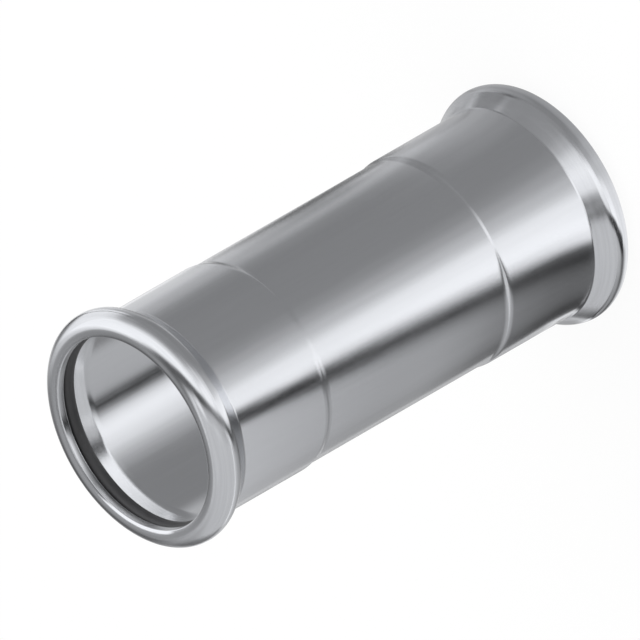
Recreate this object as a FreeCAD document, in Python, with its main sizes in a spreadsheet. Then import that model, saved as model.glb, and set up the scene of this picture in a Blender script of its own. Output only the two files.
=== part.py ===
# Straight press coupling for round steel pipe, standing on one mouth.
# One steel tube forms both sockets and the slightly narrower middle that stops the pipes.
# Each end is rolled out into a bead with a curled lip, and a rubber ring sits inside the bead.
# Frame: +Z is the tube's axis, the origin is the centre of the lower mouth plane, sizes are in millimetres.
import FreeCAD, Part
import math
import os

import Sketcher
from FreeCAD import Vector

# Driving dimensions, in millimetres and degrees
SIZES = {
    "overall_length": 96.6,     # from one mouth plane to the other
    "pipe_diameter": 35.0,      # outside of the pipe that is pushed in
    "pipe_play": 0.2,           # radial room between the pipe and the socket
    "lip_play": 0.1,            # radial room between the pipe and the curled lip
    "insertion_depth": 27.1,    # from the mouth plane to the middle of the step that stops the pipe
    "stop_height": 0.3,         # how far the step comes in, on the radius
    "stop_length": 2.0,         # how long the step is, along the axis
    "tube_wall": 1.6,           # wall of the sockets and the middle
    "bead_wall": 1.35,          # wall of the bead, stretched thinner as it is rolled out
    "lip_round": 0.2,           # radius that breaks both edges of the lip's cut face
    "flank_angle": 34.4,        # between the bead's straight flank and the axis
    "flank_fillet": 1.0,        # outside radius where the flank leaves the tube
    "seal_section": 2.6,        # diameter of the rubber ring's round section
    "seal_squeeze": 0.05,       # how much smaller the ring is than the pipe, on the radius
    "chamber_play": 0.25,       # room round the ring's section inside the curl of the bead
    "seat_gap": 0.03,           # between the ring and the flank that it rests on
}

# What several features share, in terms of the sheet's cells
CURL_INSIDE = "Sizes.seal_section / 2 + Sizes.chamber_play"
CURL_OUTSIDE = f"{CURL_INSIDE} + Sizes.bead_wall"
SEAL_ABOVE_PIPE = "Sizes.seal_section / 2 - Sizes.seal_squeeze"
SEAL_DEPTH = f"{CURL_OUTSIDE} + (Sizes.chamber_play - Sizes.seat_gap) / sin(Sizes.flank_angle * 1 deg)"

# Sketcher's numbers for the points of an edge, the sketch's origin and its horizontal axis
START, END, CENTRE = 1, 2, 3
ORIGIN = -1
HORIZONTAL_AXIS = -1

FULL_TURN = 360


def make_sheet(doc):
    """Spreadsheet with one named cell for each driving dimension."""
    sheet = doc.addObject("Spreadsheet::Sheet", "Sizes")
    for row, (alias, value) in enumerate(SIZES.items(), start=1):
        sheet.set(f"A{row}", alias)
        sheet.set(f"B{row}", str(value))
        sheet.setAlias(f"B{row}", alias)
    doc.recompute()
    return sheet


def origin_plane(body, role):
    """One of the body's own origin planes, found by its role."""
    return next(item for item in body.Origin.OriginFeatures if item.Role == role)


class Outline:
    """Closed chain of edges in a sketch, walked anticlockwise round the metal."""

    def __init__(self, sketch):
        self.sketch = sketch
        self.edges = []

    def add(self, curve, enter, leave):
        edge = self.sketch.addGeometry(curve, False)
        self.edges.append((edge, enter, leave))
        return edge

    def line(self, start, end):
        return self.add(Part.LineSegment(start, end), START, END)

    def arc(self, centre, radius, first, last):
        """Arc from angle first to angle last, in degrees; a falling angle is walked clockwise."""
        circle = Part.Circle(centre, Vector(0, 0, 1), radius)
        low, high = sorted((math.radians(first), math.radians(last)))
        ends = (START, END) if last > first else (END, START)
        return self.add(Part.ArcOfCircle(circle, low, high), *ends)

    def close(self, corner_edge):
        """Join each edge to the next at a tangent, but with plain corners at both ends of corner_edge."""
        following = self.edges[1:] + self.edges[:1]
        for (edge, _, leave), (after, enter, _) in zip(self.edges, following):
            kind = "Coincident" if corner_edge in (edge, after) else "Tangent"
            self.sketch.addConstraint(Sketcher.Constraint(kind, edge, leave, after, enter))


def drawn_value(sketch, kind, where):
    """What a dimension measures on the section as it is drawn."""
    if kind == "Radius":
        return sketch.Geometry[where[0]].Radius
    if kind == "Angle":
        along = sketch.Geometry[where[0]].EndPoint - sketch.Geometry[where[0]].StartPoint
        return math.atan2(along.y, along.x)
    span = sketch.getPoint(*where[2:]) - sketch.getPoint(*where[:2])
    return span.x if kind == "DistanceX" else span.y


def tie(sketch, name, expression, kind, *where):
    """Add a dimension that follows an expression of the sheet's cells."""
    value = drawn_value(sketch, kind, where)
    number = sketch.addConstraint(Sketcher.Constraint(kind, *where, value))
    sketch.renameConstraint(number, name)
    sketch.setExpression(f"Constraints.{name}", expression)


def polar(centre, radius, angle):
    """Point at an angle in degrees on a circle."""
    turn = math.radians(angle)
    return centre + Vector(radius * math.cos(turn), radius * math.sin(turn), 0)


def draw_half_section(sketch, size):
    """Section of the upper half: x is the radius and y the height above the coupling's middle."""
    pipe = size.pipe_diameter / 2
    mouth = size.overall_length / 2
    stop = mouth - size.insertion_depth
    socket_bore = pipe + size.pipe_play
    socket_outside = socket_bore + size.tube_wall
    middle_bore = socket_bore - size.stop_height
    middle_outside = middle_bore + size.tube_wall

    # The step is two equal arcs that meet in its middle
    step_radius = (size.stop_length ** 2 + size.stop_height ** 2) / (4 * size.stop_height)
    step_turn = math.degrees(math.asin(size.stop_length / 2 / step_radius))
    step_low = stop - size.stop_length / 2
    step_high = stop + size.stop_length / 2

    # The bead's curl is centred on the rubber ring's radius and touches the mouth plane
    curl_inside = size.seal_section / 2 + size.chamber_play
    curl_outside = curl_inside + size.bead_wall
    curl = Vector(pipe + size.seal_section / 2 - size.seal_squeeze, mouth - curl_outside, 0)

    # The lip is the sheet's own cut face, which lies along the pipe, with both of its edges broken
    lip = pipe + size.lip_play
    edge_inset = curl.x - lip - size.lip_round
    front_turn = 90 + math.degrees(math.asin(edge_inset / (curl_outside - size.lip_round)))
    back_turn = 90 + math.degrees(math.asin(edge_inset / (curl_inside + size.lip_round)))
    front_edge = polar(curl, curl_outside - size.lip_round, front_turn)
    back_edge = polar(curl, curl_inside + size.lip_round, back_turn)

    # Where the straight flank would meet the tube's outside and its bore without a fillet
    slope = math.radians(size.flank_angle)
    outer_touch = polar(curl, curl_outside, -size.flank_angle)
    inner_touch = polar(curl, curl_inside, -size.flank_angle)
    outer_foot = outer_touch.y - (outer_touch.x - socket_outside) / math.tan(slope)
    inner_foot = inner_touch.y - (inner_touch.x - socket_bore) / math.tan(slope)
    outer_bend = size.flank_fillet
    inner_bend = size.flank_fillet + size.bead_wall
    outer_bend_low = Vector(socket_outside, outer_foot - outer_bend * math.tan(slope / 2), 0)
    inner_bend_low = Vector(socket_bore, inner_foot - inner_bend * math.tan(slope / 2), 0)
    outer_bend_centre = outer_bend_low + Vector(outer_bend, 0, 0)
    inner_bend_centre = inner_bend_low + Vector(inner_bend, 0, 0)
    flank_side = 180 - size.flank_angle

    # Outside, from the middle of the coupling up to the lip
    outline = Outline(sketch)
    middle_wall = outline.line(Vector(middle_outside, 0, 0), Vector(middle_outside, step_low, 0))
    step_in = outline.arc(Vector(middle_outside + step_radius, step_low, 0), step_radius, 180, 180 - step_turn)
    step_out = outline.arc(Vector(socket_outside - step_radius, step_high, 0), step_radius, -step_turn, 0)
    socket_wall = outline.line(Vector(socket_outside, step_high, 0), outer_bend_low)
    flank_foot = outline.arc(outer_bend_centre, outer_bend, 180, flank_side)
    flank = outline.line(polar(outer_bend_centre, outer_bend, flank_side), outer_touch)
    crest = outline.arc(curl, curl_outside, -size.flank_angle, front_turn)
    lip_front = outline.arc(front_edge, size.lip_round, front_turn, 180)
    lip_face = outline.line(Vector(lip, front_edge.y, 0), Vector(lip, back_edge.y, 0))
    lip_back = outline.arc(back_edge, size.lip_round, 180, 180 + back_turn)

    # Inside, from the lip down to the middle
    chamber = outline.arc(curl, curl_inside, back_turn, -size.flank_angle)
    seat = outline.line(inner_touch, polar(inner_bend_centre, inner_bend, flank_side))
    seat_foot = outline.arc(inner_bend_centre, inner_bend, flank_side, 180)
    socket_inside = outline.line(inner_bend_low, Vector(socket_bore, step_high, 0))
    stop_out = outline.arc(Vector(socket_bore - step_radius, step_high, 0), step_radius, 0, -step_turn)
    stop_in = outline.arc(Vector(middle_bore + step_radius, step_low, 0), step_radius, 180 - step_turn, 180)
    middle_inside = outline.line(Vector(middle_bore, step_low, 0), Vector(middle_bore, 0, 0))
    middle_cut = outline.line(Vector(middle_bore, 0, 0), Vector(middle_outside, 0, 0))
    outline.close(middle_cut)

    # The pipe's surface, from the stop to the mouth plane, which the section is dimensioned from
    pipe_line = sketch.addGeometry(Part.LineSegment(Vector(pipe, stop, 0), Vector(pipe, mouth, 0)), True)

    def rule(kind, *where):
        sketch.addConstraint(Sketcher.Constraint(kind, *where))

    for edge in (pipe_line, middle_wall, socket_wall, lip_face, socket_inside, middle_inside):
        rule("Vertical", edge)
    rule("Horizontal", middle_cut)
    rule("PointOnObject", middle_wall, START, HORIZONTAL_AXIS)
    rule("Equal", step_in, step_out)
    rule("Equal", stop_in, stop_out)
    rule("Equal", lip_front, lip_back)
    rule("Horizontal", step_in, START, pipe_line, START)
    rule("Horizontal", middle_wall, END, middle_inside, START)
    rule("Horizontal", socket_wall, START, socket_inside, END)
    rule("Coincident", crest, CENTRE, chamber, CENTRE)
    rule("Parallel", flank, seat)

    tie(sketch, "pipe_radius", "Sizes.pipe_diameter / 2", "DistanceX", ORIGIN, START, pipe_line, START)
    tie(sketch, "mouth_height", "Sizes.overall_length / 2", "DistanceY", ORIGIN, START, pipe_line, END)
    tie(sketch, "insertion_depth", "Sizes.insertion_depth", "DistanceY", pipe_line, START, pipe_line, END)
    tie(sketch, "pipe_play", "Sizes.pipe_play", "DistanceX", pipe_line, START, socket_inside, START)
    tie(sketch, "stop_height", "Sizes.stop_height", "DistanceX", middle_inside, START, socket_inside, START)
    tie(sketch, "stop_length", "Sizes.stop_length", "DistanceY", middle_wall, END, socket_wall, START)
    tie(sketch, "socket_wall", "Sizes.tube_wall", "DistanceX", socket_inside, START, socket_wall, START)
    tie(sketch, "middle_wall", "Sizes.tube_wall", "DistanceX", middle_inside, START, middle_wall, START)
    tie(sketch, "curl_radius", CURL_OUTSIDE, "Radius", crest)
    tie(sketch, "chamber_radius", CURL_INSIDE, "Radius", chamber)
    tie(sketch, "curl_depth", CURL_OUTSIDE, "DistanceY", crest, CENTRE, pipe_line, END)
    tie(sketch, "curl_reach", SEAL_ABOVE_PIPE, "DistanceX", pipe_line, END, crest, CENTRE)
    tie(sketch, "lip_play", "Sizes.lip_play", "DistanceX", pipe_line, END, lip_face, START)
    tie(sketch, "lip_round", "Sizes.lip_round", "Radius", lip_front)
    tie(sketch, "flank_slope", "90 deg - Sizes.flank_angle * 1 deg", "Angle", flank)
    tie(sketch, "flank_fillet", "Sizes.flank_fillet", "Radius", flank_foot)
    tie(sketch, "seat_fillet", "Sizes.flank_fillet + Sizes.bead_wall", "Radius", seat_foot)


def make_coupling_body(doc, size):
    """The rolled steel tube: half of its section turned about the axis, then mirrored at the middle."""
    body = doc.addObject("PartDesign::Body", "CouplingBody")
    body.Label = "coupling_body"
    sketch = body.newObject("Sketcher::SketchObject", "HalfSection")
    sketch.AttachmentSupport = [(origin_plane(body, "XZ_Plane"), "")]
    sketch.MapMode = "FlatFace"
    draw_half_section(sketch, size)
    doc.recompute()

    upper_half = body.newObject("PartDesign::Revolution", "UpperHalf")
    upper_half.Profile = sketch
    upper_half.ReferenceAxis = (sketch, ["V_Axis"])
    upper_half.Angle = FULL_TURN
    doc.recompute()

    both_halves = body.newObject("PartDesign::Mirrored", "BothHalves")
    both_halves.Originals = [upper_half]
    both_halves.MirrorPlane = (origin_plane(body, "XY_Plane"), [""])
    both_halves.Refine = True
    body.Tip = both_halves
    body.setExpression("Placement.Base.z", "Sizes.overall_length / 2")
    return body


def make_seal_ring(doc, end, height):
    """Rubber ring of round section that rests on the flank inside one bead."""
    ring = doc.addObject("Part::Torus", f"{end.capitalize()}SealRing")
    ring.Label = f"{end}_seal_ring"
    ring.setExpression("Radius1", f"Sizes.pipe_diameter / 2 + {SEAL_ABOVE_PIPE}")
    ring.setExpression("Radius2", "Sizes.seal_section / 2")
    ring.setExpression("Placement.Base.z", height)
    return ring


def check(doc, pieces):
    """Stop if any object failed, a sketch is left loose or a piece has no valid shape."""
    for item in doc.Objects:
        if "Invalid" in item.State or "Error" in item.State:
            raise RuntimeError(f"{item.Label} failed: {item.State}")
        if item.isDerivedFrom("Sketcher::SketchObject") and not item.FullyConstrained:
            raise RuntimeError(f"{item.Label} isn't fully constrained")
    for piece in pieces:
        if piece.Shape.isNull() or not piece.Shape.isValid() or len(piece.Shape.Solids) != 1:
            raise RuntimeError(f"{piece.Label} has no valid single solid")


def main():
    doc = FreeCAD.newDocument("press_coupling")
    size = make_sheet(doc)
    pieces = [
        make_coupling_body(doc, size),
        make_seal_ring(doc, "upper", f"Sizes.overall_length - ({SEAL_DEPTH})"),
        make_seal_ring(doc, "lower", SEAL_DEPTH),
    ]
    doc.recompute()
    check(doc, pieces)

    os.makedirs("parts", exist_ok=True)
    for piece in pieces:
        piece.Shape.exportStep(f"parts/{piece.Label}.step")
        print(f"{piece.Label}: volume {piece.Shape.Volume:.1f} mm3, box {piece.Shape.BoundBox}")


main()
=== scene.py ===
import math

import bpy
from mathutils import Matrix, Vector


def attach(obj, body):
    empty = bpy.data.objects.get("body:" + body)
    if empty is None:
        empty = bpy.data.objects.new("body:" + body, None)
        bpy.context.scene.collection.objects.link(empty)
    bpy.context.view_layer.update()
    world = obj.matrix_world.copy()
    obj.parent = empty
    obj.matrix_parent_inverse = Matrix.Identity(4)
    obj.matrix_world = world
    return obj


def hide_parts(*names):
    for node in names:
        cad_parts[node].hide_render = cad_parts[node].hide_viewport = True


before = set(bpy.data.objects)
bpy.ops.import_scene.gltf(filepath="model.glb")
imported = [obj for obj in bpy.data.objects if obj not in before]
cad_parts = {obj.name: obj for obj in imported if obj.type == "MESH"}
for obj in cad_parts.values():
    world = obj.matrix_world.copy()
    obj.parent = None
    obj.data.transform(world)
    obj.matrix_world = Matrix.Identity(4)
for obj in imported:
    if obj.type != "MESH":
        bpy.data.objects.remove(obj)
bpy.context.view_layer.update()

# Sizes in millimetres, the same as in the part's source. Places are (radius, height)

MM = 0.001
LENGTH = 96.6
BEAD_CENTRE = (18.75, 2.9)
BEAD_OUTSIDE = 2.9
BEAD_INSIDE = 1.55
LIP_BORE = 17.6
LIP_ROUND = 0.2
FLANK_ANGLE = 34.4
FOOT_CENTRE = (20.3, 7.539)
FOOT_RADIUS = 1.0
MOUTH_CENTRE = (20.05, 7.904)
MOUTH_RADIUS = 2.35
SOCKET_OUTSIDE = 19.3
SOCKET_BORE = 17.7
MIDDLE_OUTSIDE = 19.0
MIDDLE_BORE = 17.4
STEP_START = 26.1
STEP_END = 28.1
STEP_RADIUS = 3.408
SEAL_CENTRE = (18.75, 3.289)
SEAL_SECTION = 1.3
FAR_BEAD = BEAD_CENTRE[1]
NEAR_BEAD = LENGTH - BEAD_CENTRE[1]

# How finely the pieces are turned: the sides of a full turn, the parts of each run of the section, and how
# near to each other two points count as one

TURN_SIDES = 256
BEAD_PARTS = 48
CHAMBER_PARTS = 40
SEAL_PARTS = 48
WALL_PARTS = 10
MOUTH_PARTS = 10
ROUND_PARTS = 8
STEP_PARTS = 6
FACE_PARTS = 4
SAME_PLACE = 1e-3

# The photograph

CAMERA_ELEVATION = 35.264
CAMERA_ROLL = -119.94
PICTURE_PIXELS = 640
PIXEL = MM / 6.02

# The turned pieces


class Profile:
    """A half section: points (r, z), each with the outward direction of the metal there."""

    def __init__(self):
        self.points = []

    def add(self, point, normal):
        if self.points and math.dist(point, self.points[-1][0]) < SAME_PLACE:
            return
        self.points.append((point, normal))

    def arc(self, centre, radius, start, end, parts, hollow=False):
        """An arc between two angles in degrees. The metal lies inside it, or outside where it is hollow."""
        side = -1 if hollow else 1
        for i in range(parts + 1):
            angle = math.radians(start + (end - start) * i / parts)
            direction = (math.cos(angle), math.sin(angle))
            point = (centre[0] + radius * direction[0], centre[1] + radius * direction[1])
            self.add(point, (side * direction[0], side * direction[1]))

    def wall(self, radius, start, end, parts, hollow=False):
        """A straight wall along the axis."""
        for i in range(parts + 1):
            self.add((radius, start + (end - start) * i / parts), (-1 if hollow else 1, 0))

    def ring(self):
        """The points as a closed loop, without a last point that repeats the first."""
        repeats = math.dist(self.points[0][0], self.points[-1][0]) < SAME_PLACE
        return self.points[:-1] if repeats else self.points


def lip_edge(reach):
    """The centre of the round on an edge of the lip's cut face, and its angle about the bead's centre."""
    inset = BEAD_CENTRE[0] - LIP_BORE - LIP_ROUND
    drop = math.sqrt(reach ** 2 - inset ** 2)
    return (BEAD_CENTRE[0] - inset, BEAD_CENTRE[1] - drop), math.degrees(math.atan2(-drop, -inset))


LIP_FRONT, FRONT_ANGLE = lip_edge(BEAD_OUTSIDE - LIP_ROUND)
LIP_BACK, BACK_ANGLE = lip_edge(BEAD_INSIDE + LIP_ROUND)
STEP_ANGLE = math.degrees(math.asin((STEP_END - STEP_START) / 2 / STEP_RADIUS))


def half_outside():
    """The outside of the lower half, from the lip's front edge up to mid length."""
    crown = (SOCKET_OUTSIDE - STEP_RADIUS, STEP_START)
    dip = (MIDDLE_OUTSIDE + STEP_RADIUS, STEP_END)
    half = Profile()
    half.arc(LIP_FRONT, LIP_ROUND, -180, FRONT_ANGLE, ROUND_PARTS)
    half.arc(BEAD_CENTRE, BEAD_OUTSIDE, FRONT_ANGLE, FLANK_ANGLE, BEAD_PARTS)
    half.arc(FOOT_CENTRE, FOOT_RADIUS, 180 + FLANK_ANGLE, 180, ROUND_PARTS, hollow=True)
    half.wall(SOCKET_OUTSIDE, FOOT_CENTRE[1], STEP_START, WALL_PARTS)
    half.arc(crown, STEP_RADIUS, 0, STEP_ANGLE, STEP_PARTS)
    half.arc(dip, STEP_RADIUS, 180 + STEP_ANGLE, 180, STEP_PARTS, hollow=True)
    half.wall(MIDDLE_OUTSIDE, STEP_END, LENGTH / 2, WALL_PARTS)
    return half.points


def half_inside():
    """The inside of the lower half, from mid length down into the bead and along the lip's cut face."""
    crown = (MIDDLE_BORE + STEP_RADIUS, STEP_END)
    dip = (SOCKET_BORE - STEP_RADIUS, STEP_START)
    half = Profile()
    half.wall(MIDDLE_BORE, LENGTH / 2, STEP_END, WALL_PARTS, hollow=True)
    half.arc(crown, STEP_RADIUS, 180, 180 + STEP_ANGLE, STEP_PARTS)
    half.arc(dip, STEP_RADIUS, STEP_ANGLE, 0, STEP_PARTS, hollow=True)
    half.wall(SOCKET_BORE, STEP_START, MOUTH_CENTRE[1], WALL_PARTS, hollow=True)
    half.arc(MOUTH_CENTRE, MOUTH_RADIUS, 180, 180 + FLANK_ANGLE, MOUTH_PARTS)
    half.arc(BEAD_CENTRE, BEAD_INSIDE, FLANK_ANGLE, BACK_ANGLE, CHAMBER_PARTS, hollow=True)
    half.arc(LIP_BACK, LIP_ROUND, BACK_ANGLE + 180, 180, ROUND_PARTS)
    half.wall(LIP_BORE, LIP_BACK[1], LIP_FRONT[1], FACE_PARTS, hollow=True)
    return half.points


def mirrored(points):
    """The same run at the upper end, traced back."""
    return [((r, LENGTH - z), (nr, -nz)) for (r, z), (nr, nz) in reversed(points)]


def add_object(name, data):
    made = bpy.data.objects.new(name, data)
    bpy.context.scene.collection.objects.link(made)
    return made


def lathe(name, section):
    """A closed mesh turned about Z from a closed half section, with exact normals."""
    verts, normals, faces = [], [], []
    for (r, z), (nr, nz) in section:
        for k in range(TURN_SIDES):
            turn = 2 * math.pi * k / TURN_SIDES
            c, s = math.cos(turn), math.sin(turn)
            verts.append((r * c * MM, r * s * MM, z * MM))
            normals.append((nr * c, nr * s, nz))
    for i in range(len(section)):
        low, high = i * TURN_SIDES, (i + 1) % len(section) * TURN_SIDES
        for k in range(TURN_SIDES):
            m = (k + 1) % TURN_SIDES
            faces.append((low + k, low + m, high + m, high + k))
    mesh = bpy.data.meshes.new(name)
    mesh.from_pydata(verts, [], faces)
    mesh.polygons.foreach_set("use_smooth", [True] * len(faces))
    mesh.normals_split_custom_set_from_vertices(normals)
    return add_object(name, mesh)


def make_body():
    """The body's whole section, turned: up its outside and down its inside."""
    section = Profile()
    outside, inside = half_outside(), half_inside()
    for run in (outside, mirrored(outside), mirrored(inside), inside):
        for point, normal in run:
            section.add(point, normal)
    return lathe("steel_body", section.ring())


def make_seal(name, height):
    """A ring of round section at that height."""
    section = Profile()
    section.arc((SEAL_CENTRE[0], height), SEAL_SECTION, 0, 360, SEAL_PARTS)
    return lathe(name, section.ring())


# Materials


def grey(level):
    return (level, level, level, 1)


class Graph:
    """Short names for building a node tree."""

    def __init__(self, owner):
        owner.use_nodes = True
        self.tree = owner.node_tree
        self.tree.nodes.clear()

    def node(self, kind, inputs=(), **settings):
        made = self.tree.nodes.new(kind)
        for key, value in settings.items():
            setattr(made, key, value)
        for key, value in dict(inputs).items():
            if isinstance(value, bpy.types.NodeSocket):
                self.tree.links.new(value, made.inputs[key])
            else:
                made.inputs[key].default_value = value
        return made

    def math(self, operation, a, b=0.0):
        return self.node("ShaderNodeMath", {0: a, 1: b}, operation=operation).outputs[0]

    def plus(self, a, b):
        return self.math("ADD", a, b)

    def times(self, a, b):
        return self.math("MULTIPLY", a, b)

    def vector(self, x, y, z):
        return self.node("ShaderNodeCombineXYZ", {0: x, 1: y, 2: z}).outputs[0]

    def object_place(self):
        return self.node("ShaderNodeTexCoord").outputs["Object"]

    def ramp(self, value, stops):
        """A smooth curve of grey levels: stops are (place, level)."""
        made = self.node("ShaderNodeValToRGB", {0: value})
        made.color_ramp.interpolation = "EASE"
        elements = made.color_ramp.elements
        while len(elements) > 1:
            elements.remove(elements[-1])
        for i, (place, level) in enumerate(stops):
            element = elements[0] if i == 0 else elements.new(place)
            element.position = place
            element.color = grey(level)
        return made.outputs[0]

    def step(self, value, low, high):
        """0 below low and 1 above high, smooth between."""
        made = self.node("ShaderNodeMapRange", {"Value": value, "From Min": low, "From Max": high},
                         interpolation_type="SMOOTHSTEP")
        return made.outputs[0]

    def mix(self, factor, a, b):
        """Blends two numbers."""
        made = self.node("ShaderNodeMix", {"Factor": factor, "A": a, "B": b}, data_type="FLOAT")
        return made.outputs[0]

    def noise(self, vector, scale, detail, w=None):
        inputs = {"Vector": vector, "Scale": scale, "Detail": detail}
        if w is not None:
            inputs["W"] = w
        dimensions = "3D" if w is None else "4D"
        return self.node("ShaderNodeTexNoise", inputs, noise_dimensions=dimensions).outputs[0]

    def toned(self, colour, tone):
        """A colour made darker or lighter from place to place."""
        return self.node("ShaderNodeVectorMath", {0: colour, "Scale": tone}, operation="SCALE").outputs[0]

    def relief(self, depth, height):
        """Fine relief of that depth in metres."""
        return self.node("ShaderNodeBump", {"Strength": 1.0, "Distance": depth, "Height": height}).outputs[0]

    def emission(self, strength):
        return self.node("ShaderNodeEmission", {"Color": grey(1), "Strength": strength}).outputs[0]

    def blend(self, share, first, second):
        """Blends two shaders."""
        return self.node("ShaderNodeMixShader", {0: share, 1: first, 2: second}).outputs[0]

    def output(self, shader):
        self.node("ShaderNodeOutputMaterial", {"Surface": shader})


def cylinder_coordinates(g):
    """x/r, y/r, r and z, the last two in millimetres."""
    split = g.node("ShaderNodeSeparateXYZ", {0: g.object_place()}).outputs
    x, y, z = (g.times(split[i], 1 / MM) for i in range(3))
    r = g.math("SQRT", g.plus(g.times(x, x), g.times(y, y)))
    return g.math("DIVIDE", x, r), g.math("DIVIDE", y, r), r, z


def make_steel():
    """Bright steel, with lines along the tube where it was drawn and round it where the beads were rolled."""
    colour = (0.75, 0.765, 0.80)
    drawn_until, rolled_from = 39.5, 42.0
    drawn_across, drawn_along, drawn_scale = 19.0, 0.05, 1.6
    rolled_around, rolled_scale = 0.8, 2.2
    cloud_scale = 90.0
    line_detail, cloud_detail = 4.0, 3.0
    smoothest, line_haze, cloud_haze = 0.09, 0.08, 0.08
    line_depth = 3e-6
    drawn_tone, drawn_contrast = 0.96, 0.06
    rolled_tone, rolled_contrast = 0.88, 0.22
    material = bpy.data.materials.new("drawn_steel")
    g = Graph(material)
    cx, cy, r, z = cylinder_coordinates(g)
    along_tube = g.vector(g.times(cx, drawn_across), g.times(cy, drawn_across), g.times(z, drawn_along))
    round_tube = g.vector(r, g.times(cx, rolled_around), g.times(cy, rolled_around))
    from_middle = g.math("ABSOLUTE", g.math("SUBTRACT", z, LENGTH / 2))
    rolled = g.step(from_middle, drawn_until, rolled_from)
    drawn_lines = g.noise(along_tube, drawn_scale, line_detail)
    rolled_lines = g.noise(round_tube, rolled_scale, line_detail, w=z)
    lines = g.mix(rolled, drawn_lines, rolled_lines)
    clouds = g.noise(g.object_place(), cloud_scale, cloud_detail)
    haze = g.plus(g.times(lines, line_haze), g.times(clouds, cloud_haze))
    contrast = g.times(lines, g.mix(rolled, drawn_contrast, rolled_contrast))
    tone = g.plus(g.mix(rolled, drawn_tone, rolled_tone), contrast)
    shader = g.node("ShaderNodeBsdfPrincipled", {
        "Base Color": g.toned(colour, tone), "Metallic": 1.0, "Roughness": g.plus(smoothest, haze),
        "Normal": g.relief(line_depth, lines)})
    g.output(shader.outputs[0])
    return material


def make_rubber():
    """Moulded black rubber with a fine grain."""
    colour = (0.044, 0.044, 0.047)
    grain_scale, bloom_scale, detail = 2500.0, 250.0, 3.0
    grain_depth = 1e-5
    darkest, bloom_contrast = 0.8, 0.4
    smoothest, bloom_haze = 0.33, 0.2
    material = bpy.data.materials.new("black_rubber")
    g = Graph(material)
    grain = g.noise(g.object_place(), grain_scale, detail)
    bloom = g.noise(g.object_place(), bloom_scale, detail)
    shader = g.node("ShaderNodeBsdfPrincipled", {
        "Base Color": g.toned(colour, g.plus(darkest, g.times(bloom, bloom_contrast))),
        "Roughness": g.plus(smoothest, g.times(bloom, bloom_haze)),
        "Normal": g.relief(grain_depth, grain)})
    g.output(shader.outputs[0])
    return material


# The studio

WHITE = 1.0


def white_for_looks(g):
    """1 for rays that look at the surroundings, straight, by reflection or through glass, and 0 for light."""
    path = g.node("ShaderNodeLightPath").outputs
    looks = g.math("MAXIMUM", path["Is Camera Ray"], path["Is Glossy Ray"])
    return g.math("MAXIMUM", looks, path["Is Transmission Ray"])


def make_world():
    light_level = 0.65
    world = bpy.data.worlds.new("studio")
    bpy.context.scene.world = world
    g = Graph(world)
    strength = g.mix(white_for_looks(g), light_level, WHITE)
    light = g.node("ShaderNodeBackground", {"Color": grey(1), "Strength": strength})
    g.node("ShaderNodeOutputWorld", {"Surface": light.outputs[0]})


def make_floor():
    """A pale floor that looks white and keeps a faint shadow."""
    half_side = 4.0
    shadow_share = 0.12
    paleness = 0.85
    glow_level = WHITE * 1.03
    corners = [(-half_side, -half_side, 0), (half_side, -half_side, 0), (half_side, half_side, 0),
               (-half_side, half_side, 0)]
    mesh = bpy.data.meshes.new("floor")
    mesh.from_pydata(corners, [], [(0, 1, 2, 3)])
    floor = add_object("floor", mesh)
    material = bpy.data.materials.new("pale_floor")
    g = Graph(material)
    pale = g.node("ShaderNodeBsdfDiffuse", {"Color": grey(paleness)}).outputs[0]
    share = g.times(white_for_looks(g), 1 - shadow_share)
    g.output(g.blend(share, pale, g.emission(glow_level)))
    mesh.materials.append(material)


def polar(azimuth, distance, height):
    """A point by its direction from the axis, 0 towards the camera and 90 towards +X."""
    angle = math.radians(azimuth)
    return (distance * math.sin(angle), -distance * math.cos(angle), height)


def toward(azimuth, elevation):
    """The direction at an azimuth and an elevation."""
    a, e = math.radians(azimuth), math.radians(elevation)
    return Vector((math.sin(a) * math.cos(e), -math.cos(a) * math.cos(e), math.sin(e)))


def make_lamps():
    """A key lamp and a fill lamp that look at the origin from a metre away and don't show in reflections."""
    for name, azimuth, elevation, size, level in (("key", 80, 40, 1.1, 1.2), ("fill", -100, 45, 1.0, 0.6)):
        data = bpy.data.lights.new(name, "AREA")
        data.size = size
        data.energy = level * math.pi * size * size
        lamp = add_object(name, data)
        place = toward(azimuth, elevation)
        lamp.matrix_world = Matrix.Translation(place) @ place.to_track_quat("Z", "Y").to_matrix().to_4x4()
        lamp.visible_glossy = False


# Cards that only reflections see, as a photographer sets them round a bright piece. They are painted
# reflections: the greys, dark lines and painted highlights that the steel shows. Azimuths are in degrees,
# heights, distances and widths in millimetres, and densities run from 0, clear, to 1. Left and right are as
# the camera would see them if it weren't rolled

LONG_PARTS = 60
CROSS_PARTS = 12
RIBBON_PARTS = 8
EVEN = [(0.0, 1.0), (1.0, 1.0)]


def spread(start, end, parts):
    """Evenly spaced numbers from start to end, both included."""
    return [start + (end - start) * i / parts for i in range(parts + 1)]


def shares(span, stops):
    """Stops in a span's own unit, as shares of the way along it. Without stops the density is even."""
    if stops is None:
        return EVEN
    start, end = span
    return [((place - start) / (end - start), value) for place, value in stops]


def soft(density):
    """A ribbon's profile: clear at both edges and even in the middle."""
    return [(0.0, 0.0), (0.35, density), (0.65, density), (1.0, 0.0)]


def patch(name, rows):
    """A sheet through rows of points in millimetres, with u along a row and v across the rows."""
    verts = [Vector(p) * MM for row in rows for p in row]
    across, up = len(rows[0]), len(rows)
    faces, corners = [], []
    for j in range(up - 1):
        for i in range(across - 1):
            quad = ((i, j), (i + 1, j), (i + 1, j + 1), (i, j + 1))
            faces.append([b * across + a for a, b in quad])
            corners += [(a / (across - 1), b / (up - 1)) for a, b in quad]
    mesh = bpy.data.meshes.new(name)
    mesh.from_pydata(verts, [], faces)
    layer = mesh.uv_layers.new(name="card")
    for i, corner in enumerate(corners):
        layer.data[i].uv = corner
    return add_object(name, mesh)


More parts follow.
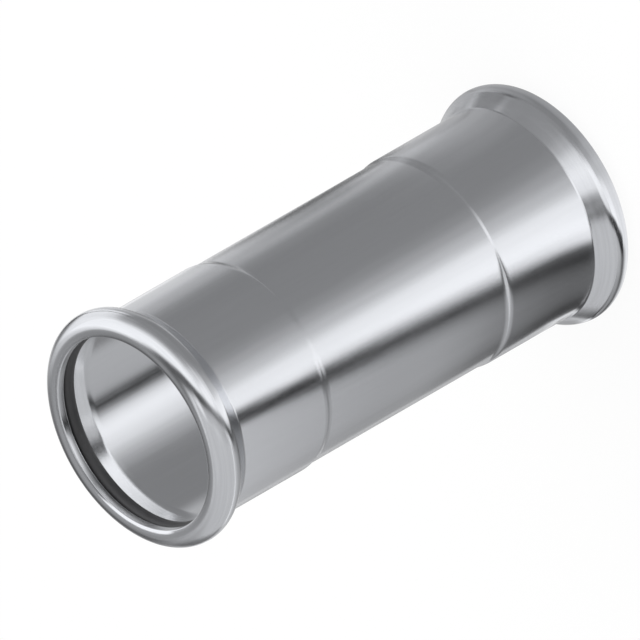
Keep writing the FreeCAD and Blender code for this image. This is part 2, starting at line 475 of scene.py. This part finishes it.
def card(name, rows, along, across=EVEN, level=0.0, one_sided=False):
    """One card: along and across give its density, and level its grey, as a number or as stops along it."""
    sheet = patch(name, rows)
    material = bpy.data.materials.new(name)
    g = Graph(material)
    uv = g.node("ShaderNodeSeparateXYZ", {0: g.node("ShaderNodeTexCoord").outputs["UV"]}).outputs
    density = g.times(g.ramp(uv[0], along), g.ramp(uv[1], across))
    if one_sided:
        front = g.math("SUBTRACT", 1.0, g.node("ShaderNodeNewGeometry").outputs["Backfacing"])
        density = g.times(density, front)
    if isinstance(level, list):
        level = g.ramp(uv[0], level)
    clear = g.node("ShaderNodeBsdfTransparent").outputs[0]
    g.output(g.blend(density, clear, g.emission(level)))
    sheet.data.materials.append(material)
    for ray in ("camera", "diffuse", "transmission", "volume_scatter", "shadow"):
        setattr(sheet, "visible_" + ray, False)


def level_card(name, azimuths, distances, height, along, across=None, **options):
    """A card that lies level, as a mat does. It faces down."""
    rows = [[polar(a, distance, height) for a in spread(*azimuths, LONG_PARTS)]
            for distance in spread(*distances, CROSS_PARTS)]
    card(name, rows, shares(azimuths, along), shares(distances, across), **options)


def fan_card(name, height, fan, along, **options):
    """A level card whose sides don't point at the axis, in rows of (distance, start, end, density)."""
    rows = [[polar(a, distance, height) for a in spread(start, end, LONG_PARTS)]
            for distance, start, end, density in fan]
    across = [(i / (len(fan) - 1), row[3]) for i, row in enumerate(fan)]
    card(name, rows, along, across, **options)


def standing_card(name, azimuths, distance, heights, along, across=None, **options):
    """A card that stands round the axis, as a wall does. It faces in where its azimuths fall."""
    rows = [[polar(a, distance, height) for a in spread(*azimuths, LONG_PARTS)]
            for height in spread(*heights, CROSS_PARTS)]
    card(name, rows, shares(azimuths, along), shares(heights, across), **options)


def fence_card(name, distance, posts, across):
    """A standing card with an uneven top, in posts of (azimuth, low, high, density, level)."""
    rows = []
    for share in spread(0, 1, RIBBON_PARTS):
        rows.append([polar(azimuth, distance, low + (high - low) * share)
                     for azimuth, low, high, density, level in posts])
    places = spread(0, 1, len(posts) - 1)
    along = [(place, post[3]) for place, post in zip(places, posts)]
    levels = [(place, post[4]) for place, post in zip(places, posts)]
    card(name, rows, along, across, level=levels)


def ribbon_card(name, height, path, profile, across):
    """A level ribbon through (azimuth, distance, width)."""
    rows = []
    for azimuth, distance, width in path:
        half_turn = math.degrees(width / 2 / distance)
        rows.append([polar(a, distance, height)
                     for a in spread(azimuth - half_turn, azimuth + half_turn, RIBBON_PARTS)])
    card(name, rows, profile, across)


def mirrored_by(bead_height, ray, reach, inner):
    """The place that a bead mirrors to the camera in that direction, so far from the bead.

    Each direction is mirrored twice: by the bead's outer side, and by its inner side across the mouth.
    """
    normal = (toward(0, CAMERA_ELEVATION) + ray).normalized()
    outward = Vector((normal.x, normal.y, 0)).normalized() * (-1 if inner else 1)
    return outward * BEAD_CENTRE[0] + Vector((0, 0, bead_height)) + normal * BEAD_OUTSIDE + ray * reach


def at_reach(reach, path):
    """A path of (azimuth, elevation, width) that lies equally far from the bead all along."""
    return [(azimuth, elevation, width, reach) for azimuth, elevation, width in path]


def seen_ribbon(name, bead_height, path, profile, across=EVEN, inner=False, **options):
    """A ribbon placed where one bead mirrors it, through (azimuth, elevation, width in degrees, reach).

    The profile runs from its right side to its left as it climbs, and level stretches of it face down.
    """
    rays = [toward(azimuth, elevation) for azimuth, elevation, width, reach in path]
    rows = []
    for i, (azimuth, elevation, width, reach) in enumerate(path):
        along = rays[min(i + 1, len(rays) - 1)] - rays[max(i - 1, 0)]
        left = rays[i].cross(along).normalized()
        turns = [math.radians(turn) for turn in spread(-width / 2, width / 2, RIBBON_PARTS)]
        rows.append([mirrored_by(bead_height, rays[i] * math.cos(turn) + left * math.sin(turn), reach, inner)
                     for turn in turns])
    card(name, rows, profile, across, **options)


def seen_in_lip(name, azimuths, heights, along, across, **options):
    """A card in the mouth that only the lip's cut face mirrors, between azimuths and heights of that face."""
    card_height = 93.0
    rows = []
    for height in spread(*heights, CROSS_PARTS):
        reach = (height - card_height) / math.sin(math.radians(CAMERA_ELEVATION))
        rows.append([Vector(polar(a, LIP_BORE, height)) + toward(2 * a, -CAMERA_ELEVATION) * reach
                     for a in spread(*azimuths, LONG_PARTS)])
    card(name, rows, shares(azimuths, along), shares(heights, across), one_sided=True, **options)


def make_floor_cards():
    """Painted reflections in the walls of the tube: the mats on the floor all round that they mirror, and
    dark strips at the front left.
    """
    level_card("grey_mat", (-30, 150), (20, 180), 0.10,
               [(-30, 0.0), (-15, 0.1), (0, 0.38), (10, 0.56), (20, 0.68), (30, 0.72), (60, 0.725),
                (80, 0.735), (92, 0.71), (110, 0.50), (130, 0.28), (150, 0.25)],
               [(20, 0.8), (23, 0.85), (26, 1.0), (180, 1.0)])
    level_card("dark_mat", (104, 152), (25, 110), 0.15,
               [(104, 0.0), (120, 0.4), (130, 0.58), (140, 0.62), (152, 0.0)],
               [(25, 0.25), (55, 0.35), (66, 0.95), (78, 1.0), (85, 0.7), (110, 0.1)])
    fan_card("edge_mat", 0.20, [
        (36, 116, 150, 0.0), (45, 120, 155, 0.4), (56, 124, 160, 0.55), (64, 128, 162, 0.45),
        (76, 130, 165, 0.4), (92, 133, 168, 0.3), (112, 137, 170, 0.0)],
        [(0.0, 0.0), (0.25, 1.0), (0.7, 1.0), (1.0, 0.0)])
    level_card("back_mat", (156, 204), (19, 300), 0.10, [(156, 0.0), (168, 0.85), (192, 0.85), (204, 0.0)],
               [(19, 0.5), (50, 0.75), (65, 1.0), (105, 1.0), (130, 0.45), (150, 0.5), (260, 0.5),
                (300, 0.3)])
    # A glowing mat, brighter than white and no lamp: the painted highlight band in the tube's walls
    level_card("white_mat", (-40, 0), (26, 200), 0.05, [(-40, 0.0), (-32, 1.0), (-14, 1.0), (0, 0.0)],
               level=1.18)
    fan_card("left_mat", 0.05, [
        (22, -107, -40, 0.0), (23.3, -107, -40, 0.4), (24, -107, -40, 0.8), (25, -107, -40, 1.0),
        (33, -116, -40, 1.0), (39, -125, -40, 0.98), (46, -132, -40, 0.93), (56, -138, -40, 0.86),
        (66, -142, -40, 0.76), (76, -145, -40, 0.68), (94, -148, -40, 0.67), (112, -150, -40, 0.61),
        (125, -151, -40, 0.55), (140, -152, -40, 0.47), (180, -154, -40, 0.45)],
        [(0.0, 0.0), (0.07, 0.92), (0.22, 0.93), (0.35, 0.87), (0.45, 0.84), (0.89, 0.84), (1.0, 0.0)])
    fan_card("left_back_mat", 0.10, [
        (27, -160, -110, 0.0), (33, -164, -114, 0.8), (44, -168, -126, 0.95), (56, -172, -133, 0.9),
        (66, -174, -137, 0.9), (78, -176, -141, 1.0), (115, -178, -146, 1.0), (140, -178, -148, 0.8),
        (165, -176, -148, 0.4), (190, -174, -148, 0.3), (230, -174, -148, 0.6), (280, -174, -148, 0.6)],
        [(0.0, 0.0), (0.3, 0.5), (0.85, 0.5), (1.0, 0.0)])
    # A faint painted light in the lower walls' reflection, towards the far foot
    fan_card("foot_light", 0.30, [
        (20, 48, 99, 0.8), (28, 49, 100, 0.95), (36, 50, 106, 1.0), (44, 51, 118, 1.0), (52, 52, 121, 0.6),
        (62, 53, 118, 0.2), (72, 54, 118, 0.0)],
        [(0.0, 0.0), (0.3, 0.08), (0.55, 0.17), (0.75, 0.23), (0.88, 0.23), (1.0, 0.0)], level=1.0)
    # Painted shade by the foot, seen in the tube's reflection
    level_card("foot_mat", (-172, -55), (19, 25), 0.10, [(-172, 0.4), (-100, 0.3), (-70, 0.12), (-55, 0.0)])
    ribbon_card("far_strip", 0.20, [
        (-54.5, 28, 14), (-55.4, 33, 19), (-55.6, 41, 26), (-55.5, 50, 33), (-54.4, 58, 40), (-52.9, 67, 47),
        (-51.6, 76, 54), (-49.8, 85, 60), (-48.2, 94, 66), (-46.2, 103, 73), (-44.5, 112, 79),
        (-42.2, 121, 84), (-40, 130, 90)],
        [(0.0, 0.0), (0.1, 0.08), (0.2, 0.18), (0.3, 0.35), (0.4, 0.6), (0.5, 0.88), (0.6, 0.8), (0.7, 0.64),
         (0.8, 0.35), (0.9, 0.14), (1.0, 0.0)],
        [(0.0, 0.85), (0.08, 0.78), (0.33, 0.84), (0.5, 0.97), (0.73, 1.0), (1.0, 0.0)])
    ribbon_card("near_strip", 0.25, [
        (-48.2, 94, 40), (-46.2, 103, 44), (-44.5, 112, 47), (-42.2, 121, 50), (-40, 130, 54), (-37, 144, 59),
        (-32.8, 171, 68), (-31, 213, 82), (-28.9, 279, 105), (-26.4, 400, 150)], soft(1.0),
        [(0.0, 0.0), (0.11, 0.55), (0.22, 0.85), (0.33, 1.0), (0.6, 1.0), (0.7, 0.8), (1.0, 0.7)])


def make_wall_cards():
    """Painted reflections in the beads: what they mirror of the sides and from above, with two low rails
    close to the far bead that paint darker bands in it.
    """
    wall_grey = 0.70
    # Glowing cards, no lamps: painted highlights in the beads
    highlight_glow = 1.15
    standing_card("grey_wall", (-5, 105), 180, (0, 60),
                  [(-5, 0.0), (30, wall_grey), (90, wall_grey), (105, 0.0)])
    standing_card("high_grey_wall", (0, 112), 180, (60, 225),
                  [(0, 0.0), (15, 0.22), (30, 0.6), (42, 0.7), (75, 0.7), (90, 0.62), (105, 0.1), (112, 0.0)],
                  [(60, 1.0), (98, 0.97), (122, 0.87), (152, 0.62), (186, 0.28), (225, 0.0)])
    level_card("low_shade", (79, 165), (30, 260), 12,
               [(79, 0.0), (88, wall_grey), (152, wall_grey), (165, 0.0)], one_sided=True)
    standing_card("low_wall", (88, 165), 262, (0, 15),
                  [(88, 0.0), (96, wall_grey), (152, wall_grey), (165, 0.0)])
    standing_card("left_wall", (-165, -30), 220, (0, 400),
                  [(-165, 0.2), (-140, 0.4), (-45, 0.36), (-30, 0.0)])
    standing_card("back_wall", (150, 230), 220, (0, 520),
                  [(150, 0.0), (160, 0.4), (170, 0.75), (180, 0.85), (195, 0.82), (206, 0.55), (230, 0.0)],
                  [(0, 0.5), (22, 0.6), (52, 0.8), (80, 1.0), (150, 1.0), (210, 0.65), (263, 0.42),
                   (333, 0.28), (441, 0.15), (520, 0.0)])
    standing_card("white_wall", (-8, 158), 400, (190, 900), [(-8, 0.0), (8, 1.0), (148, 1.0), (158, 0.0)],
                  [(190, 0.0), (260, 1.0), (800, 1.0), (900, 0.0)], level=highlight_glow)
    standing_card("white_slot", (-24, 14), 400, (0, 260), [(-24, 0.0), (-14, 1.0), (4, 1.0), (14, 0.0)],
                  [(0, 1.0), (190, 1.0), (260, 0.0)], level=highlight_glow)
    rail_low, rail_high = 2.7, 3.9
    even_posts = [(-30, 0.0, 0.5), (-36, 1.0, 0.52), (-42, 1.0, 0.56), (-51, 1.0, 0.5), (-60, 1.0, 0.4),
                  (-69, 1.0, 0.36), (-78, 1.0, 0.34)]
    falling_posts = [(-86, 2.7, 3.8, 1.0, 0.36), (-92, 2.5, 3.2, 0.8, 0.38), (-98, 2.2, 2.5, 0.0, 0.38)]
    posts = [(azimuth, rail_low, rail_high, density, level) for azimuth, density, level in even_posts]
    fence_card("low_rail", 22.3, posts + falling_posts,
               [(0.0, 0.0), (0.17, 0.3), (0.37, 0.75), (0.58, 1.0), (1.0, 1.0)])
    standing_card("back_rail", (-160, -104), 24.4, (0, 4), [(-160, 1.0), (-112, 1.0), (-104, 0.0)],
                  [(0.0, 0.0), (0.9, 0.1), (1.4, 0.6), (1.8, 1.0), (4.0, 1.0)], level=0.4)
    level_card("left_sky", (-165, -30), (1, 220), 400, [(-165, 0.36), (-45, 0.36), (-30, 0.0)])


def make_near_bead_cards():
    """What the near bead mirrors, as painted reflections: a dark line over it from the front to the back,
    where it parts in two.

    Grey lies on the line's left, and a painted highlight, from a glowing card that is no lamp, lies on the
    inner edge.
    """
    seen_ribbon("near_line", NEAR_BEAD, at_reach(110, [
        (-27, -14, 19), (-22.5, -2, 19), (-19, 10, 19), (-15, 20, 19), (-11.5, 29, 21), (-7.5, 38, 23),
        (-4, 46, 24), (0, 53, 25), (7, 59, 26), (18, 65, 27), (32, 71, 27), (75, 79, 28), (130, 74, 27),
        (155, 67, 26), (168, 59, 24), (176, 50, 22), (179, 40, 22), (181, 30, 22), (182, 20, 24),
        (184, 8, 26), (184, -4, 26)]), soft(0.9),
        [(0.0, 0.7), (0.19, 0.75), (0.28, 1.0), (0.65, 1.0), (0.7, 0.92), (0.75, 0.77), (0.8, 0.6),
         (0.85, 0.42), (0.9, 0.3), (0.95, 0.3), (1.0, 0.0)])
    # A glowing card 3 mm from the bead, no lamp: a painted highlight on its inner edge
    seen_ribbon("front_edge_light", NEAR_BEAD, at_reach(3, [
        (150, 32, 32), (147, 37, 32), (143, 45, 34), (141, 54, 34), (142, 63, 34), (149, 68, 32)]),
        [(0.0, 0.0), (0.15, 1.0), (0.85, 1.0), (1.0, 0.0)], [(0.0, 0.0), (0.15, 1.0), (0.8, 1.0), (1.0, 0.0)],
        inner=True, level=1.2)
    seen_ribbon("near_left", NEAR_BEAD, at_reach(114, [
        (-38, -14, 24), (-36, 0, 24), (-34, 10, 28), (-31, 20, 29), (-28, 30, 31), (-27, 40, 31),
        (-26, 50, 31), (-24, 60, 31), (-20, 70, 31)]), [(0.0, 0.45), (0.5, 0.42), (1.0, 0.0)])
    seen_ribbon("back_right", NEAR_BEAD, at_reach(112, [
        (151, -28, 20), (152, -20, 25), (153, -12, 29), (156, -4, 29), (161, 4, 24), (169, 10, 17)]),
        soft(0.92), [(0.0, 0.6), (0.2, 1.0), (0.6, 0.8), (1.0, 0.0)])
    seen_ribbon("back_left", NEAR_BEAD, at_reach(112, [
        (217, -30, 30), (216, -20, 32), (214, -10, 32), (211, 0, 30), (205, 8, 24), (196, 15, 16)]),
        soft(0.6), [(0.0, 0.7), (0.2, 1.0), (0.6, 0.9), (1.0, 0.0)])


def make_far_bead_cards():
    """The painted reflection of a dark line in the far bead: ribbons beside it low down, then level with it,
    then high over the tube.
    """
    seen_ribbon("far_line_low", FAR_BEAD, at_reach(0.45, [
        (-80, -36, 24), (-71, -30, 25), (-65, -23, 26), (-60, -18, 24), (-55, -14, 24), (-52, -10, 23),
        (-50, -6, 22), (-48, -2, 20), (-47.5, 1, 20)]), soft(0.9))
    seen_ribbon("far_line_level", FAR_BEAD, [
        (-47.5, 1, 20, 88), (-47.3, 2.5, 20, 35), (-46.5, 5, 19, 18), (-44.5, 9, 19, 9.5),
        (-43.5, 12, 19, 7)], soft(0.95), one_sided=True)
    seen_ribbon("far_line_high", FAR_BEAD, [
        (-43.5, 10, 19, 319), (-43, 14, 19, 229), (-42, 18, 19, 179), (-40, 22, 19, 148), (-37, 26, 19, 126),
        (-33, 32, 20, 104)], soft(0.9), [(0.0, 1.0), (0.6, 0.9), (1.0, 0.75)], one_sided=True)


def make_bore_cards():
    """What the bore mirrors, instead of its own dark repeats, is a painted reflection: a sleeve just inside
    it, which faces in and in places glows brighter than white.
    """
    sleeve_radius = 17.3
    round_about = (180, -180)
    levels = [(180, 0.4), (165, 0.26), (65, 0.26), (48, 0.29), (30, 0.46), (15, 0.65), (0, 0.94), (-30, 1.16),
              (-39, 1.06), (-46, 0.93), (-53, 0.55), (-61, 0.1), (-66, 0.0), (-76, 0.0), (-82, 0.32),
              (-89, 0.5), (-165, 0.52), (-180, 0.4)]
    standing_card("bore_reflection_sleeve", round_about, sleeve_radius, (8, 96), None, one_sided=True,
                  level=shares(round_about, levels))


def make_lip_cards():
    """Painted shade and a painted highlight on the lip's cut face: it is dark by the seal, as the seal's
    painted shade, and pales towards its front edge, most of all at the back left.
    """
    seen_in_lip("lip_shade", (95, 265), (94.7, 96.3), None,
                [(94.7, 0.8), (95.4, 0.8), (95.8, 0.4), (96.1, 0.1), (96.3, 0.0)])
    seen_in_lip("lip_light", (190, 265), (95.6, 96.6), [(190, 0.0), (202, 1.0), (258, 1.0), (265, 0.0)],
                [(95.6, 0.0), (95.8, 0.3), (96.05, 0.9), (96.6, 1.0)], level=1.15)


# The camera of the photograph


def make_camera():
    """A camera far off that looks at mid length, a little beside it, and is rolled so that the tube lies."""
    distance, nearest, farthest = 0.6, 0.01, 10
    beside, below = 17.7 * PIXEL, 4.1 * PIXEL
    roll = math.radians(CAMERA_ROLL)
    back = toward(0, CAMERA_ELEVATION)
    level_right = Vector((1, 0, 0))
    level_up = back.cross(level_right)
    right = math.cos(roll) * level_right + math.sin(roll) * level_up
    up = math.cos(roll) * level_up - math.sin(roll) * level_right
    data = bpy.data.cameras.new("camera")
    data.type = "ORTHO"
    data.ortho_scale = PICTURE_PIXELS * PIXEL
    data.clip_start, data.clip_end = nearest, farthest
    camera = add_object("camera", data)
    place = Vector((0, 0, LENGTH / 2 * MM)) + distance * back - beside * right - below * up
    camera.matrix_world = Matrix.Translation(place) @ Matrix((right, up, back)).transposed().to_4x4()
    bpy.context.scene.camera = camera


# Putting it together

steel, rubber = make_steel(), make_rubber()
body = make_body()
upper_seal = make_seal("upper_seal", LENGTH - SEAL_CENTRE[1])
lower_seal = make_seal("lower_seal", SEAL_CENTRE[1])
for piece, node, slot, material in (
        (body, "coupling_body", "steel", steel),
        (upper_seal, "upper_seal_ring", "rubber", rubber),
        (lower_seal, "lower_seal_ring", "rubber", rubber)):
    piece.data.materials.append(material)
    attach(piece, "root")
    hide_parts(node)

make_floor()
make_floor_cards()
make_wall_cards()
make_near_bead_cards()
make_far_bead_cards()
make_bore_cards()
make_lip_cards()
make_lamps()
make_world()
make_camera()
bpy.context.scene.view_settings.view_transform = "Standard"
